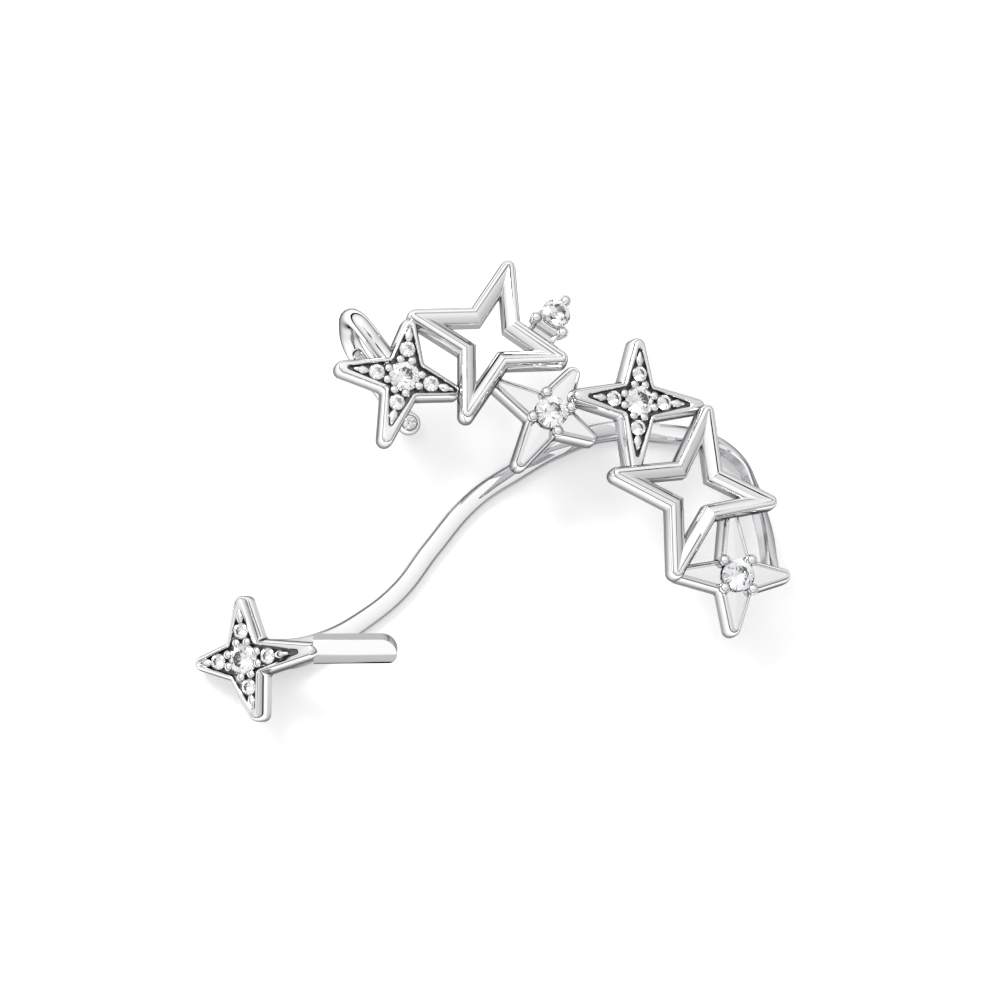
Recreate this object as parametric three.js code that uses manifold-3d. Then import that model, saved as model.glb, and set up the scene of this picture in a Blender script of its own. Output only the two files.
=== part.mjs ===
// Ear cuff of four-pointed stars: one soldered silver frame and eighteen set stones.
// Millimetres, +Z up. The cuff lies on its back, with the stars facing up and the band below them.

import * as THREE from 'three';
import { ConvexGeometry } from 'three/addons/geometries/ConvexGeometry.js';
import { LoftGeometry } from 'three/addons/geometries/LoftGeometry.js';
import { mergeVertices } from 'three/addons/utils/BufferGeometryUtils.js';
import Module from 'manifold-3d';

// Stars, measured in their own plane
const paveReach = 4.74;
const openReach = 6.54;
const solidReach = 4.44;
const waistShare = 0.405;
const starThickness = 1.7;
const tipRadius = 0.52;
const tipSegments = 4;
const sharpRadius = 0.03;
const backBevel = 0.12;
const faceBevel = 0.3;
const edgeHeight = 0.25;

// Paved stars: a raised rim round a sunk floor
const rimWidth = 0.47;
const floorDepth = 0.55;

// Open stars: bars whose face slopes in to the hole
const barWidth = 1.3;
const barSlope = 0.45;
const crestWidth = 0.08;

// Solid stars: a face that rises to the middle
const faceRise = 0.28;
const peakShare = 0.12;

// Stones and what holds them
const centreStone = 2.25;
const sideStone = 1.15;
const prongStone = 2.4;
const crestStone = 2.15;
const stoneClearance = 0.05;
const grainRadius = 0.24;
const grainGap = 0.33;
const grainRise = 0.08;
const tipGrainStretch = 1.6;
const paveSink = 0.15;
const prongRadius = 0.35;
const prongInset = 0.1;
const prongRise = 0.42;
const prongLift = 0.45;
const colletRadius = 1.05;
const cupDepth = 1.35;
const cupFoot = 0.55;
const cupLip = 1.12;
const cupGrip = 0.7;
const railWidth = 2.2;
const railHeight = 0.6;

// Top of a grain or prong: how far out and how far down from its crown, as shares of its radius
const dome = [[1, 0.7], [0.75, 0.22], [0, 0]];

// Brilliant cut, as shares of the stone's diameter
const tableShare = 0.55;
const crownShare = 0.15;
const girdleShare = 0.03;
const pavilionShare = 0.43;
const kiteRise = 0.62;
const halveOut = 0.3;
const halveDepth = 0.76;

// Band behind the ear, hook over its top and clip at its foot
const bandWidth = 1.45;
const bandThickness = 0.85;
const bandSteps = 2;
const earGap = 5.45;
const hookWire = 1.4;
const hookBall = 1.75;
const hookReach = 5.9;
const hookRoot = 1.5;
const hookSteps = 22;
const clipLength = 6.1;
const clipWidth = 1.7;
const clipThickness = 1.2;
const clipBite = 0.5;
const clipRidge = 0.33;
const footClearance = 0.1;
const roundSides = 12;

// Where the lower left star lies from the last star of the cluster
const footSpanX = -36;
const footSpanY = -6.89;

// Each star: its arms in the order right, top, left, bottom, as shares of its form's reach and
// bearings in degrees; how far its face leans to the right and to the top; how much higher than
// the first star it lies; and its place from a neighbour, as shares of the two reaches together.
const stars = {
    openLower: {
        form: 'open', reach: [0.97, 1.02, 1.01, 1.06], bearing: [-6, 81, 171, 256],
        lean: [0, 0], raise: 0,
    },
    paveMiddle: {
        form: 'pave', reach: [1.17, 1.03, 1.14, 1.18], bearing: [1, 89, 180, 267],
        lean: [9.4, -1], raise: -0.4, from: 'openLower', place: [-0.3715, 0.58],
    },
    solidUpper: {
        form: 'solid', reach: [0.92, 0.96, 1.08, 1.11], bearing: [-27, 60, 152, 240],
        lean: [0, 0], raise: -0.6, from: 'paveMiddle', place: [-0.734, -0.138],
    },
    openUpper: {
        form: 'open', reach: [0.92, 0.97, 0.96, 1.04], bearing: [-16, 75, 165, 253],
        lean: [-4.5, 6.6], raise: 0.3, from: 'solidUpper', place: [-0.425, 0.492],
    },
    paveUpper: {
        form: 'pave', reach: [0.93, 0.95, 1.07, 1.13], bearing: [-13, 84, 174, 255],
        lean: [0, 0], raise: -0.4, from: 'openUpper', place: [-0.551, -0.286],
    },
    solidLower: {
        form: 'solid', reach: [0.98, 1.22, 1.09, 1.01], bearing: [3, 94, 179, 267],
        lean: [0, 0], raise: -1, from: 'openLower', place: [0.2925, -0.56],
    },
    paveFoot: {
        form: 'pave', reach: [1.17, 0.98, 0.88, 0.97], bearing: [8, 97, 186, 286],
        lean: [-37.8, -7.3],
    },
};

// Crest stone beside the upper open star: its place from that star as a share of the reach, and
// the bearings of its prongs and of the rail that holds it
const crest = {
    from: 'openUpper', place: [0.755, 0.297], lean: [8, 10], prongs: [57, 176, 295], rail: -30,
};

// Band route from the foot star to the last star: how far along the line between their middles
// and how far out from it, as shares of its length; height as a share of the ear gap; width as a
// share of the band's; and the roll of its flat face outwards, in degrees.
const bandRoute = [
    { along: 0.009, out: 0.006, height: 0.36, width: 1.5, roll: 0 },
    { along: 0.065, out: 0.008, height: 0.2, width: 1.5, roll: 0 },
    { along: 0.125, out: 0.006, height: 0.07, width: 1.45, roll: 0 },
    { along: 0.193, out: 0.02, height: 0, width: 1.2, roll: 0 },
    { along: 0.264, out: 0.047, height: 0, width: 1.05, roll: 0 },
    { along: 0.351, out: 0.096, height: 0, width: 1, roll: 0 },
    { along: 0.434, out: 0.172, height: 0, width: 1, roll: 0 },
    { along: 0.538, out: 0.257, height: 0, width: 1, roll: 0 },
    { along: 0.642, out: 0.305, height: 0, width: 1, roll: 0 },
    { along: 0.74, out: 0.341, height: 0, width: 1, roll: 0 },
    { along: 0.85, out: 0.359, height: 0, width: 1, roll: 0 },
    { along: 0.965, out: 0.338, height: 0.025, width: 1, roll: 10 },
    { along: 1.06, out: 0.306, height: 0.077, width: 1, roll: 45 },
    { along: 1.115, out: 0.257, height: 0.1, width: 1, roll: 75 },
    { along: 1.127, out: 0.2, height: 0.22, width: 1, roll: 75 },
    { along: 1.123, out: 0.14, height: 0.42, width: 1, roll: 55 },
    { along: 1.112, out: 0.08, height: 0.67, width: 1, roll: 42 },
    { along: 1.096, out: 0.03, height: 0.88, width: 1, roll: 35 },
    { along: 1.085, out: -0.005, height: 0.98, width: 1, roll: 30 },
];

// Section of the band, flat behind and crowned in front, as shares of its width and thickness
const bandSection = [
    [-0.42, -0.5], [0.42, -0.5], [0.5, -0.2], [0.48, 0.1], [0.32, 0.38], [0.1, 0.5],
    [-0.1, 0.5], [-0.32, 0.38], [-0.48, 0.1], [-0.5, -0.2],
];

// Hook wire: how far out from the star's middle as a share of its reach, and its height as a
// share of the climb from its tail to the star
const hookRoute = [
    { out: 0.5, height: 1 },
    { out: 0.71, height: 1.02 },
    { out: 0.91, height: 0.98 },
    { out: 1, height: 0.8 },
    { out: 0.95, height: 0.5 },
    { out: 0.84, height: 0.22 },
    { out: 0.68, height: 0.06 },
    { out: 0.46, height: 0 },
    { out: 0.19, height: 0 },
    { out: -0.18, height: 0 },
    { out: -0.43, height: 0 },
];

// Clip: how its face leans to the right and to the top, and its bearing in that face
const clipLean = [-12.7, -29.3];
const clipBearing = 3;

const wasm = await Module();
wasm.setup();

const formReach = { pave: paveReach, open: openReach, solid: solidReach };
const silver = new THREE.MeshStandardMaterial({ color: 0xd9dadc, roughness: 0.12, metalness: 1 });
const gem = new THREE.MeshStandardMaterial({ color: 0xf4f6f8, roughness: 0.02, metalness: 0 });

function toSolid(geometry) {
    const bare = new THREE.BufferGeometry();
    bare.setAttribute('position', geometry.attributes.position);
    bare.setIndex(geometry.index);
    const merged = mergeVertices(bare, 1e-5);
    return new wasm.Manifold(new wasm.Mesh({
        numProp: 3,
        vertProperties: new Float32Array(merged.attributes.position.array),
        triVerts: new Uint32Array(merged.index.array),
    }));
}

function toGeometry(solid) {
    const mesh = solid.getMesh();
    const geometry = new THREE.BufferGeometry();
    geometry.setAttribute('position', new THREE.BufferAttribute(mesh.vertProperties, 3));
    geometry.setIndex(new THREE.BufferAttribute(mesh.triVerts, 1));
    geometry.computeVertexNormals();
    return geometry;
}

function join(solids) {
    return solids.reduce((whole, solid) => whole.add(solid));
}

// A point at a bearing in degrees
function polar(radius, bearing) {
    const angle = THREE.MathUtils.degToRad(bearing);
    return new THREE.Vector2(radius * Math.cos(angle), radius * Math.sin(angle));
}

// Step that moves a corner by the same distance inside both of its edges' outward normals
function stepInside(first, second, distance) {
    const cross = first.x * second.y - first.y * second.x;
    return new THREE.Vector2(second.y - first.y, first.x - second.x).multiplyScalar(-distance / cross);
}

// Outward normal of the edge that runs from a waist to touch an arm's round tip
function edgeNormal(waist, tip, side) {
    const toTip = tip.clone().sub(waist);
    const turn = Math.asin(tipRadius / toTip.length());
    return toTip.normalize().rotateAround(new THREE.Vector2(), side * (turn + Math.PI / 2));
}

// Outline of a star moved inwards, with round tips and pointed waists, anticlockwise
function starOutline(star, inset) {
    const reach = formReach[star.form];
    const tips = star.reach.map((share, arm) => polar(share * reach - tipRadius, star.bearing[arm]));
    const waists = star.bearing.map((bearing, arm) => {
        const next = arm < 3 ? star.bearing[arm + 1] : star.bearing[0] + 360;
        return polar(waistShare * reach, (bearing + next) / 2);
    });
    const before = tips.map((tip, arm) => edgeNormal(waists[(arm + 3) % 4], tip, -1));
    const after = tips.map((tip, arm) => edgeNormal(waists[arm], tip, 1));
    const radius = Math.max(tipRadius - inset, sharpRadius);
    const points = [];
    tips.forEach((tip, arm) => {
        const middle = tip.clone().add(stepInside(before[arm], after[arm], inset + radius - tipRadius));
        const start = before[arm].angle();
        const sweep = (after[arm].angle() - start + 2 * Math.PI) % (2 * Math.PI);
        for (let i = 0; i <= tipSegments; i++) {
            const normal = new THREE.Vector2(radius, 0);
            points.push(normal.rotateAround(new THREE.Vector2(), start + (sweep * i) / tipSegments).add(middle));
        }
        const corner = stepInside(after[arm], before[(arm + 1) % 4], inset);
        points.push(waists[arm].clone().add(corner));
    });
    return points;
}

// Solid through outlines of one star: each level has a height, an inset and sometimes a scale
function starLoft(star, levels) {
    const sections = levels.map(({ height, inset, scale = 1 }) =>
        starOutline(star, inset).map((point) => new THREE.Vector3(point.x * scale, point.y * scale, height)));
    return new LoftGeometry(sections, { capStart: true, capEnd: true });
}

// Lower levels that every star shares: back, sides and bevelled face edge
function bodyLevels(bevel) {
    return [
        { height: -starThickness, inset: backBevel },
        { height: backBevel - starThickness, inset: 0 },
        { height: -edgeHeight, inset: 0 },
        { height: 0, inset: bevel },
    ];
}

function starBody(star) {
    const levels = bodyLevels(faceBevel);
    if (star.form === 'solid') {
        levels.push({ height: faceRise, inset: faceBevel, scale: peakShare });
    }
    return starLoft(star, levels);
}

function openStarHole(star) {
    const crestInset = faceBevel + crestWidth;
    return starLoft(star, [
        { height: -2 * starThickness, inset: barWidth },
        { height: -barSlope, inset: barWidth },
        { height: 0, inset: crestInset },
        { height: starThickness, inset: crestInset },
    ]);
}

function paveFloor(star) {
    return starLoft(star, [
        { height: -floorDepth, inset: rimWidth },
        { height: starThickness, inset: rimWidth },
    ]);
}

// Round brilliant about its girdle: rings of points whose hull has a table, stars, kites and girdle
function brilliant(diameter, fine) {
    const radius = diameter / 2;
    const points = [new THREE.Vector3(0, 0, -pavilionShare * diameter)];
    const ring = (count, share, height, turn) => {
        for (let i = 0; i < count; i++) {
            const angle = (2 * Math.PI * (i + turn)) / count;
            points.push(new THREE.Vector3(
                share * radius * Math.cos(angle),
                share * radius * Math.sin(angle),
                height * diameter,
            ));
        }
    };
    ring(8, tableShare, crownShare, 0);
    ring(16, 1, girdleShare / 2, 0);
    ring(16, 1, -girdleShare / 2, 0);
    if (fine) {
        ring(8, (1 + tableShare) / 2, crownShare * kiteRise, 0.5);
        ring(8, halveOut, -pavilionShare * halveDepth, 0.5);
    }
    return new ConvexGeometry(points);
}

// Grain or prong: a round post with a domed top
function post(radius, foot, top, stretch) {
    const profile = [
        new THREE.Vector2(0, foot),
        new THREE.Vector2(radius, foot),
        ...dome.map(([out, down]) => new THREE.Vector2(radius * out, top - radius * down)),
    ];
    return new THREE.LatheGeometry(profile, roundSides - 2).rotateX(Math.PI / 2).scale(stretch, 1, 1);
}

function disc(footRadius, topRadius, foot, top) {
    return new THREE.CylinderGeometry(topRadius, footRadius, top - foot, roundSides + 4)
        .rotateX(Math.PI / 2)
        .translate(0, 0, (top + foot) / 2);
}

// Stones of a paved star: one in the middle and one on each arm
function paveStones(star, name) {
    const girdle = -paveSink;
    const distance = centreStone / 2 + grainGap + sideStone / 2;
    const stones = [{ name: `${name}_centre`, size: centreStone, at: polar(0, 0), girdle }];
    ['right', 'top', 'left', 'bottom'].forEach((side, arm) => {
        const at = polar(distance, star.bearing[arm]);
        stones.push({ name: `${name}_${side}`, size: sideStone, at, girdle });
    });
    return stones;
}

// Grains of a paved star: a pair between the stones of each arm and a long one at its tip
function paveGrains(star) {
    const foot = -floorDepth - grainRadius;
    const pairOut = centreStone / 2;
    const pairSide = grainRadius + grainGap / 2;
    const tipOut = centreStone / 2 + grainGap + sideStone + tipGrainStretch * grainRadius;
    return star.bearing.flatMap((bearing) => {
        const turn = THREE.MathUtils.degToRad(bearing);
        const pair = [-pairSide, pairSide].map((side) =>
            post(grainRadius, foot, grainRise, 1).translate(pairOut, side, 0));
        const tip = post(grainRadius, foot, 0, tipGrainStretch).translate(tipOut, 0, 0);
        return [...pair, tip].map((grain) => grain.rotateZ(turn));
    });
}

// Prongs round a stone, at the bearings given
function prongs(size, bearings, foot, girdle) {
    const out = size / 2 + prongRadius - prongInset;
    return bearings.map((bearing) => {
        const at = polar(out, bearing);
        return post(prongRadius, foot, girdle + prongRise, 1).translate(at.x, at.y, 0);
    });
}

function solidSetting(star) {
    const waists = star.bearing.map((bearing, arm) => (arm < 3 ? (bearing + star.bearing[arm + 1]) / 2
        : (bearing + star.bearing[0] + 360) / 2));
    const collet = disc(colletRadius, colletRadius, -edgeHeight, prongLift - crownShare);
    return [collet, ...prongs(prongStone, waists, -edgeHeight, prongLift)];
}

// Frame of a leaning plane: its x stays level with the cuff's
function leaningBasis(lean) {
    const slopes = lean.map((angle) => Math.tan(THREE.MathUtils.degToRad(angle)));
    const normal = new THREE.Vector3(slopes[0], slopes[1], 1).normalize();
    const right = new THREE.Vector3(1, 0, 0).projectOnPlane(normal).normalize();
    const top = normal.clone().cross(right);
    return new THREE.Matrix4().makeBasis(right, top, normal);
}

function placedGroup(position, lean) {
    const group = new THREE.Group();
    group.position.copy(position);
    group.quaternion.setFromRotationMatrix(leaningBasis(lean));
    group.updateMatrix();
    return group;
}

function placeStars() {
    const firstFace = bandThickness + earGap + starThickness;
    const groups = {};
    for (const [name, star] of Object.entries(stars)) {
        const position = new THREE.Vector3(0, 0, firstFace + (star.raise ?? 0));
        if (star.from) {
            const scale = formReach[star.form] + formReach[stars[star.from].form];
            position.x = groups[star.from].position.x + scale * star.place[0];
            position.y = groups[star.from].position.y + scale * star.place[1];
        }
        groups[name] = placedGroup(position, star.lean);
    }
    const foot = groups.paveFoot;
    const slope = new THREE.Vector3(-1, 0, 0).applyQuaternion(foot.quaternion);
    const upright = new THREE.Vector3(0, 0, 1).applyQuaternion(foot.quaternion);
    const drop = -slope.z * paveReach * stars.paveFoot.reach[2];
    foot.position.set(
        groups.solidLower.position.x + footSpanX,
        groups.solidLower.position.y + footSpanY,
        drop + upright.z * starThickness + footClearance,
    );
    foot.updateMatrix();
    return groups;
}

// Band swept along its route, with the section rolled about the route
function band(groups) {
    const start = groups.paveFoot.position;
    const end = groups.solidLower.position;
    const line = new THREE.Vector2(end.x - start.x, end.y - start.y);
    const out = new THREE.Vector2(-line.y, line.x);
    const curve = new THREE.CatmullRomCurve3(bandRoute.map((row) => new THREE.Vector3(
        start.x + row.along * line.x + row.out * out.x,
        start.y + row.along * line.y + row.out * out.y,
        bandThickness / 2 + row.height * earGap,
    )));
    const last = bandRoute.length - 1;
    const sections = [];
    for (let i = 0; i <= last * bandSteps; i++) {
        const at = i / bandSteps;
        const row = bandRoute[Math.floor(at)];
        const next = bandRoute[Math.min(Math.floor(at) + 1, last)];
        const share = at - Math.floor(at);
        const width = bandWidth * THREE.MathUtils.lerp(row.width, next.width, share);
        const roll = THREE.MathUtils.degToRad(THREE.MathUtils.lerp(row.roll, next.roll, share));
        const middle = curve.getPoint(at / last);
        middle.z = Math.max(middle.z, bandThickness / 2);
        const tangent = curve.getTangent(at / last);
        const outward = new THREE.Vector3(0, 0, 1).cross(tangent).normalize();
        outward.applyAxisAngle(tangent, -roll);
        const facing = tangent.clone().cross(outward);
        sections.push(bandSection.map(([across, through]) => middle.clone()
            .addScaledVector(outward, -across * width)
            .addScaledVector(facing, through * bandThickness)));
    }
    return new LoftGeometry(sections.map((points) => points.reverse()), { capStart: true, capEnd: true });
}

// Hook wire in an upright plane through the star's waist, ending in a ball
function hook(star, group) {
    const bearing = (star.bearing[1] + star.bearing[2]) / 2;
    const tailHeight = hookBall / 2;
    const climb = group.position.z - starThickness / 2 - tailHeight;
    const spot = (outShare, height) => {
        const at = polar(outShare * hookReach, bearing);
        return new THREE.Vector3(at.x, at.y, tailHeight + climb * height);
    };
    const root = spot(hookRoot / hookReach, 1);
    const route = [root, ...hookRoute.map((row) => spot(row.out, row.height))];
    const section = new THREE.Shape().absarc(0, 0, hookWire / 2, 0, 2 * Math.PI);
    const wire = new THREE.ExtrudeGeometry(section, {
        steps: hookSteps,
        curveSegments: roundSides / 2,
        extrudePath: new THREE.CatmullRomCurve3(route),
    });
    const tail = route.at(-1);
    const ball = new THREE.SphereGeometry(hookBall / 2, roundSides, roundSides / 2)
        .rotateX(Math.PI / 2)
        .translate(tail.x, tail.y, tail.z);
    return [wire, ball].map((piece) => piece.translate(group.position.x, group.position.y, 0));
}

// Outline of the clip's bar moved inwards: square where it is soldered and round at its free end
function barOutline(inset) {
    const half = clipWidth / 2 - inset;
    const points = [new THREE.Vector2(-clipBite, half), new THREE.Vector2(-clipBite, -half)];
    for (let i = 0; i <= 2 * tipSegments; i++) {
        const angle = -Math.PI / 2 + (Math.PI * i) / (2 * tipSegments);
        points.push(new THREE.Vector2(
            clipLength - clipWidth / 2 + half * Math.cos(angle),
            half * Math.sin(angle),
        ));
    }
    return points;
}

// Clip bar along the ear's front, from the tip of the foot star's right arm
function clip(group) {
    const star = stars.paveFoot;
    const tip = polar(star.reach[0] * paveReach, star.bearing[0]);
    const corner = new THREE.Vector3(tip.x, tip.y, 0).applyMatrix4(group.matrix);
    const levels = [
        { height: -clipThickness, inset: backBevel },
        { height: backBevel - clipThickness, inset: 0 },
        { height: -edgeHeight, inset: 0 },
        { height: 0, inset: clipRidge * clipWidth },
    ];
    const sections = levels.map(({ height, inset }) =>
        barOutline(inset).map((point) => new THREE.Vector3(point.x, point.y, height)));
    return new LoftGeometry(sections, { capStart: true, capEnd: true })
        .rotateZ(THREE.MathUtils.degToRad(clipBearing))
        .applyMatrix4(leaningBasis(clipLean))
        .translate(corner.x, corner.y, corner.z);
}

function crestGroup(groups) {
    const star = groups[crest.from];
    const reach = formReach[stars[crest.from].form];
    const position = new THREE.Vector3(
        star.position.x + crest.place[0] * reach,
        star.position.y + crest.place[1] * reach,
        star.position.z,
    );
    return placedGroup(position, crest.lean);
}

// Cup, three prongs and the rail that joins them to the open star's arm
function crestSetting() {
    const cup = disc(cupFoot, cupLip, -cupDepth, -crownShare);
    const rail = new THREE.BoxGeometry(crestStone, railWidth, railHeight)
        .translate(0, -railWidth / 2, -cupDepth + railHeight / 2)
        .rotateZ(THREE.MathUtils.degToRad(crest.rail));
    return [cup, rail, ...prongs(crestStone, crest.prongs, -cupGrip * cupDepth, 0)];
}

function buildCuff() {
    const cuff = new THREE.Group();
    const groups = placeStars();
    const bodies = [];
    const floors = [];
    const settings = [];
    const seats = [];

    const addStones = (group, stones) => {
        for (const { name, size, at, girdle } of stones) {
            const fine = size > sideStone;
            const stone = new THREE.Mesh(brilliant(size, fine), gem.clone());
            stone.name = name;
            stone.position.set(at.x, at.y, girdle);
            group.add(stone);
            seats.push(toSolid(brilliant(size + 2 * stoneClearance, fine)
                .translate(at.x, at.y, girdle)
                .applyMatrix4(group.matrix)));
        }
        cuff.add(group);
    };

    for (const [name, star] of Object.entries(stars)) {
        const group = groups[name];
        const put = (geometry) => toSolid(geometry.applyMatrix4(group.matrix));
        let body = put(starBody(star));
        if (star.form === 'open') {
            body = body.subtract(put(openStarHole(star)));
        } else if (star.form === 'pave') {
            floors.push(put(paveFloor(star)));
            settings.push(...paveGrains(star).map(put));
            addStones(group, paveStones(star, `stone_${name}`));
        } else {
            settings.push(...solidSetting(star).map(put));
            addStones(group, [{ name: `stone_${name}`, size: prongStone, at: polar(0, 0), girdle: prongLift }]);
        }
        bodies.push(body);
    }

    const crestPlace = crestGroup(groups);
    settings.push(...crestSetting().map((geometry) => toSolid(geometry.applyMatrix4(crestPlace.matrix))));
    addStones(crestPlace, [{ name: 'stone_crest', size: crestStone, at: polar(0, 0), girdle: 0 }]);

    bodies.push(toSolid(band(groups)));
    bodies.push(...hook(stars.paveUpper, groups.paveUpper).map(toSolid));
    bodies.push(toSolid(clip(groups.paveFoot)));

    const solid = join(bodies).subtract(join(floors)).add(join(settings)).subtract(join(seats));
    const frame = new THREE.Mesh(toGeometry(solid), silver.clone());
    frame.name = 'silver_frame';
    cuff.add(frame);

    const box = new THREE.Box3().setFromObject(cuff, true);
    const middle = box.getCenter(new THREE.Vector3());
    cuff.position.set(-middle.x, -middle.y, -box.min.z);
    return cuff;
}

export default buildCuff();
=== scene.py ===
# %% [markdown]
# # An ear cuff of four-pointed stars
# Seven small stars climb along the ear, joined tip to tip. Some hold clear stones, some are open
# rings, and a band behind the ear holds them in place. This lesson builds the cuff in polished
# silver round a measured frame, piece by piece, and lights it like a jeweller's photograph.
# We begin by loading that frame. Its box is kept, so that the finished cuff can be held to it.

# %% Load the measured frame
import math
from contextlib import contextmanager

import bmesh
import bpy
from mathutils import Matrix, Vector


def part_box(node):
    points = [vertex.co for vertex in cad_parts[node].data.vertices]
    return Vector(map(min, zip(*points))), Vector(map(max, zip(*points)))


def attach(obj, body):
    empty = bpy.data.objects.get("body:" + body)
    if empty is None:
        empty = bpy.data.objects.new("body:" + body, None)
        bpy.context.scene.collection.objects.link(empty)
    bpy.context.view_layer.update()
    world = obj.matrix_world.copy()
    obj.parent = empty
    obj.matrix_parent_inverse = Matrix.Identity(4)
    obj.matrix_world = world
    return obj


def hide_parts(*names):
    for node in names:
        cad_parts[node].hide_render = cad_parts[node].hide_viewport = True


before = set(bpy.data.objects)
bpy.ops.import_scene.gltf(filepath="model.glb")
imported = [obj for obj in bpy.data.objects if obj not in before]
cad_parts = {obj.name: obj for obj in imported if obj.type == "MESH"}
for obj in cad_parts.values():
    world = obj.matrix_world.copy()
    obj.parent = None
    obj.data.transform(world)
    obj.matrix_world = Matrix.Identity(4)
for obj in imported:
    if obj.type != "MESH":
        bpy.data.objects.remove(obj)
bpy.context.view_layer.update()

MM = 0.001

# %% [markdown]
# ## The camera
# The cuff lies on its back, and the photograph looks almost straight down on it, tipped a little
# to the right and a little upwards. We write down how the floor's upright looks to the camera,
# as right, up and towards the eye, and build the camera's turn from that. A long lens keeps the
# stars' shapes nearly free of perspective.

# %% Place the camera
LENS = 101
EYE_DISTANCE = 203
AIM = Vector((-0.44, -0.9, 7))
UPRIGHT_SEEN = Vector((0.22, 0.19, 0.957)).normalized()

right_seen = (Vector((1, 0, 0)) - UPRIGHT_SEEN.x * UPRIGHT_SEEN).normalized()
camera_turn = Matrix((right_seen, UPRIGHT_SEEN.cross(right_seen), UPRIGHT_SEEN))
eye = AIM + camera_turn @ Vector((0, 0, EYE_DISTANCE))
bpy.ops.object.camera_add(location=eye * MM, rotation=camera_turn.to_euler())
camera = bpy.context.object
camera.name = "photo_camera"
camera.data.lens = LENS
camera.data.clip_start = MM
bpy.context.scene.camera = camera
print("camera at", [round(v, 1) for v in eye], "mm")

# %% [markdown]
# ## The bench
# Every piece is modelled at bench size, where one unit is one millimetre, and is shrunk to metres
# when it is set in place. Small tools do the handling: one opens a piece in edit mode with nothing
# selected, one picks faces, edges or points by a test, and one sets a finished piece in place.

# %% Tools for handling pieces
SELECT_MODE = {"verts": "VERT", "edges": "EDGE", "faces": "FACE"}
# Two points nearer than this count as one
HAIR = 0.002


def pick_up(piece):
    """Leaves this piece alone selected."""
    bpy.ops.object.select_all(action="DESELECT")
    piece.select_set(True)
    bpy.context.view_layer.objects.active = piece


@contextmanager
def bench(piece):
    """Opens a piece in edit mode with nothing selected, and closes it afterwards."""
    pick_up(piece)
    bpy.ops.object.mode_set(mode="EDIT")
    bpy.ops.mesh.select_all(action="DESELECT")
    yield
    bpy.ops.object.mode_set(mode="OBJECT")


def pick(piece, kind, test):
    """In edit mode, selects the verts, edges or faces that pass the test."""
    bpy.ops.mesh.select_mode(type=SELECT_MODE[kind])
    bpy.ops.mesh.select_all(action="DESELECT")
    mesh = bmesh.from_edit_mesh(piece.data)
    chosen = [part for part in getattr(mesh, kind) if test(part)]
    for part in chosen:
        part.select_set(True)
    mesh.select_flush_mode()
    bmesh.update_edit_mesh(piece.data)


def start_piece(name, add, **settings):
    """Adds a primitive with nothing else selected, and names it."""
    bpy.ops.object.select_all(action="DESELECT")
    add(**settings)
    piece = bpy.context.object
    piece.name = name
    return piece


def copy_of(piece, name):
    """A copy with its own mesh."""
    pick_up(piece)
    bpy.ops.object.duplicate(linked=False)
    copy = bpy.context.object
    copy.name = name
    return copy


def joined(pieces, name):
    """Several pieces made one."""
    bpy.ops.object.select_all(action="DESELECT")
    for piece in pieces:
        piece.select_set(True)
    bpy.context.view_layer.objects.active = pieces[0]
    bpy.ops.object.join()
    pieces[0].name = name
    return pieces[0]


def apply_modifier(piece, kind, **settings):
    """Adds a modifier, sets it and applies it."""
    pick_up(piece)
    bpy.ops.object.modifier_add(type=kind)
    modifier = piece.modifiers[-1]
    for key, value in settings.items():
        setattr(modifier, key, value)
    bpy.ops.object.modifier_apply(modifier=modifier.name)


def face_outwards(piece):
    """Merges doubled points and turns every face outwards."""
    with bench(piece):
        bpy.ops.mesh.select_all(action="SELECT")
        bpy.ops.mesh.remove_doubles(threshold=HAIR)
        bpy.ops.mesh.normals_make_consistent(inside=False)


def keep_place(piece):
    """Moves a piece's place, turn and size into its mesh."""
    pick_up(piece)
    bpy.ops.object.transform_apply(location=True, rotation=True, scale=True)


def set_in_place(piece, place=Matrix.Identity(4)):
    """Moves a piece from the bench to its place, in metres."""
    pick_up(piece)
    piece.matrix_world = Matrix.Scale(MM, 4) @ place @ piece.matrix_world
    keep_place(piece)


print("bench ready")

# %% [markdown]
# ## Polished silver
# Sterling silver is cast, filed and polished to a mirror with a soft wheel. The eye gets clean
# reflections, a faint waviness where the wheel dwelt, and the finest of scratches. So the metal
# is nearly white and fully metallic, its roughness varies a little from scratch to scratch, and a
# shallow bump bends the reflections slightly. Where the wheel can't reach, on walls and backs, the
# same metal stays satin, and its colour there is painted darker as well, as painted shade. One
# function adds a node with its settings and links, and one turns a colour written in hex, as a
# screen shows it, to linear light.

# %% Silver, its waviness and its fine scratches
def linear(hex_colour):
    """A colour as a screen shows it, turned to linear light."""
    channels = [int(hex_colour[i:i + 2], 16) / 255 for i in (1, 3, 5)]
    return [c / 12.92 if c <= 0.04045 else ((c + 0.055) / 1.055) ** 2.4 for c in channels] + [1]


def add_node(tree, kind, settings=None, **links):
    """Adds a node: settings go to its own fields, and links to its sockets."""
    node = tree.nodes.new(kind)
    for key, value in (settings or {}).items():
        setattr(node, key, value)
    for key, value in links.items():
        socket = node.inputs[key.replace("_", " ")]
        if isinstance(value, bpy.types.NodeSocket):
            tree.links.new(value, socket)
        else:
            socket.default_value = value
    return node


def new_material(name):
    """An empty node material, with the tree and its output."""
    material = bpy.data.materials.new(name)
    material.use_nodes = True
    material.node_tree.nodes.clear()
    return material, material.node_tree, material.node_tree.nodes.new("ShaderNodeOutputMaterial")


WAVE_SIZE = 1.6 * MM
SCRATCH_SIZE = 0.12 * MM
WAVE_DEPTH = 0.004 * MM
WAVE_STRENGTH = 0.6


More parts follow.
